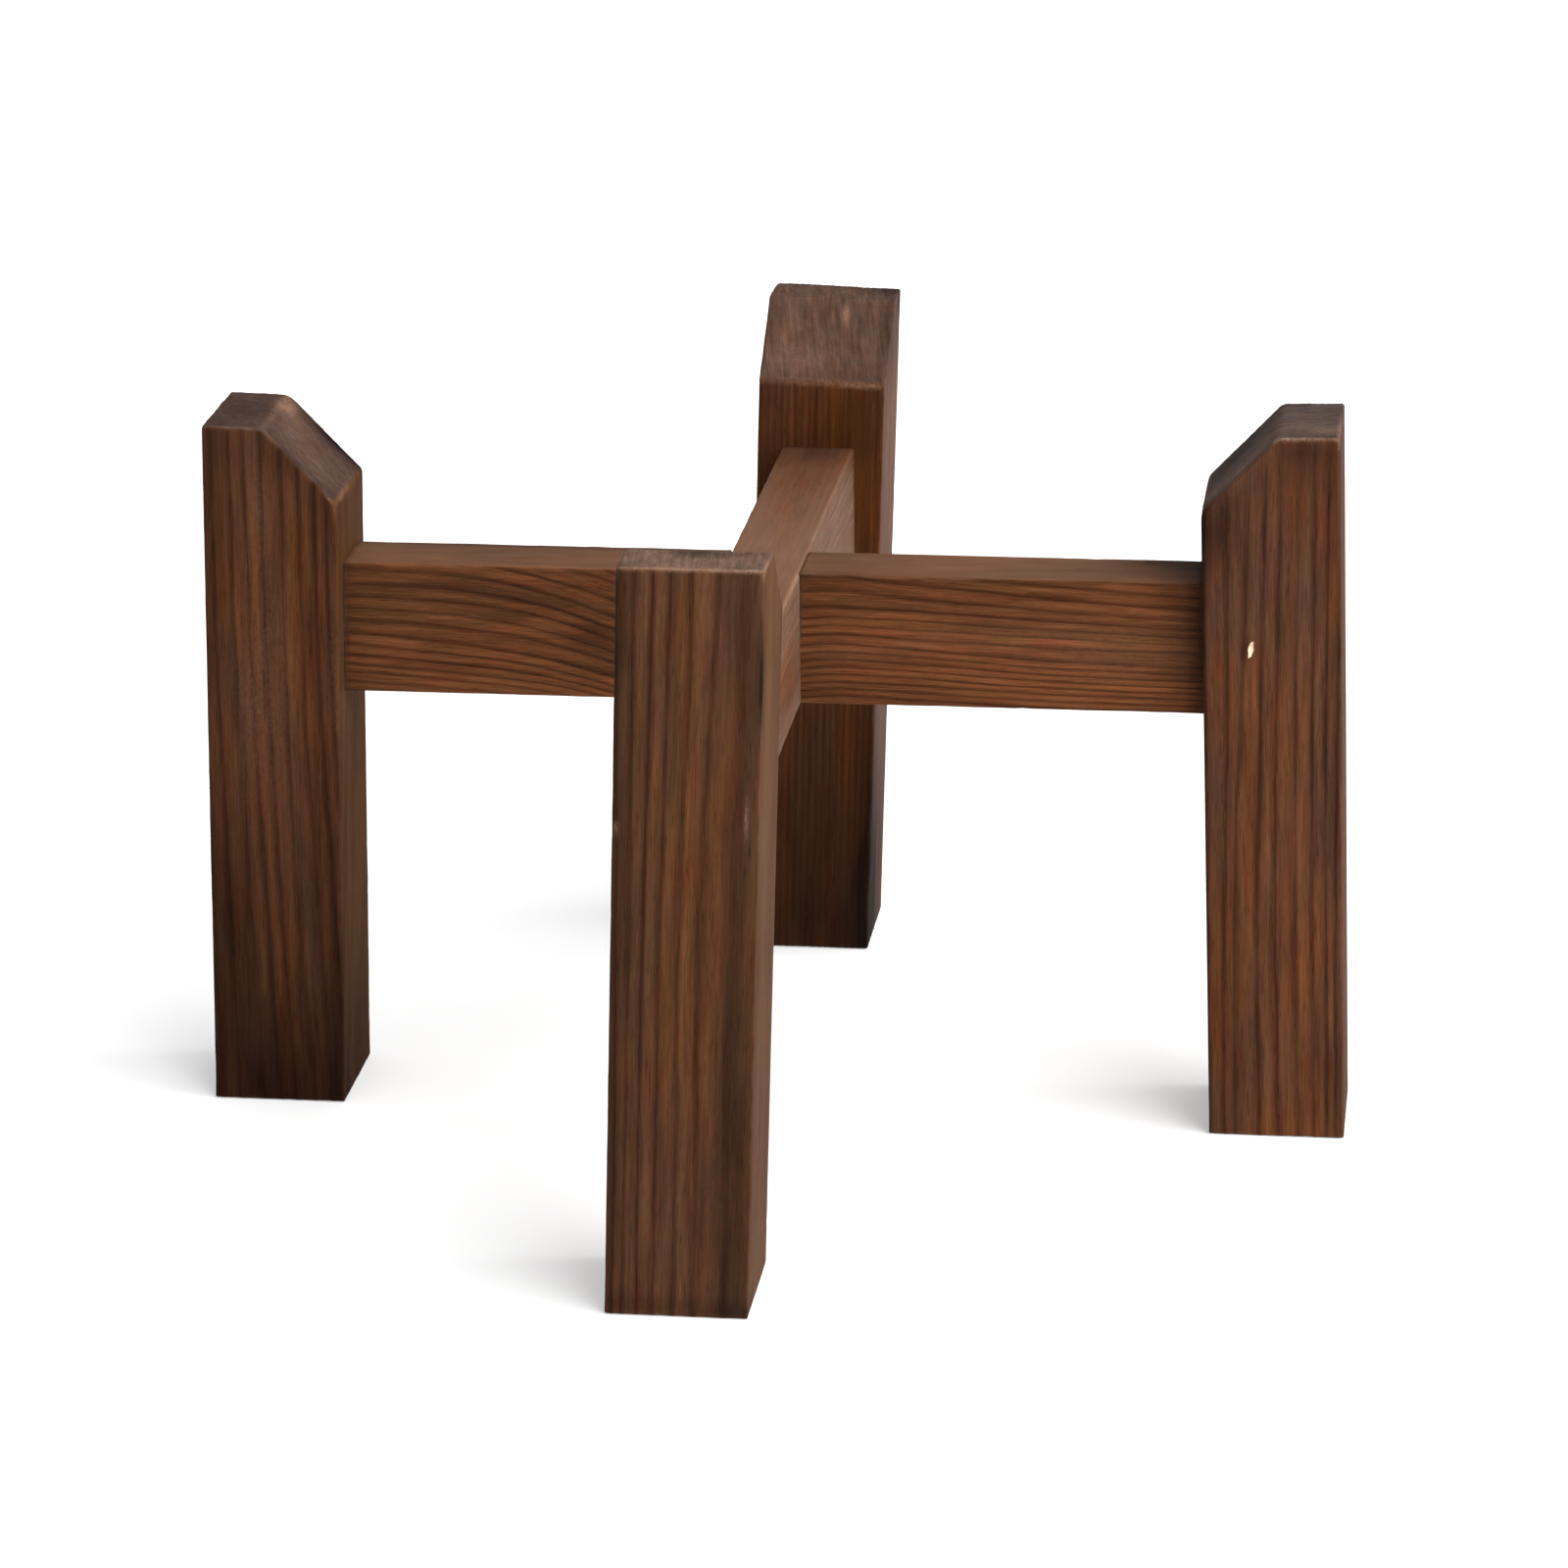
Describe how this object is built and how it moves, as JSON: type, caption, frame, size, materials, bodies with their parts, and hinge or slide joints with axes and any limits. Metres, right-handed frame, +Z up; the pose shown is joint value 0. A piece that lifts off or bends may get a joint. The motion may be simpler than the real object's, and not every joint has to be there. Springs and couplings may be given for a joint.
{
  "type": "plant stand",
  "caption": "Low wooden plant stand: two flat rails crossed in a flush half-lap, tenoned into square posts whose sloped heads rise above the rails and hold a round pot.",
  "frame": {"origin": "on the floor, directly below the middle of the left-right rail; the front-rear rail crosses it 2.5 mm further to -X", "axes": "+Z up, +X towards the right post, +Y towards the rear post; the front post is towards -Y, where the viewer stands"},
  "size_m": [0.3412, 0.334, 0.215],
  "materials": {
    "post_wood": "carbonised softwood, dark reddish brown, low sheen",
    "rail_wood": "carbonised softwood, reddish brown, low sheen",
    "brad_steel": "bright steel wire"
  },
  "bodies": {
    "root": {"post_left": "post_wood", "post_right": "post_wood", "post_front": "post_wood", "post_rear": "post_wood", "rail_left_right": "rail_wood", "rail_front_rear": "rail_wood", "brad_left": "brad_steel", "brad_right": "brad_steel", "brad_front": "brad_steel", "brad_rear": "brad_steel"}
  },
  "joints": []
}
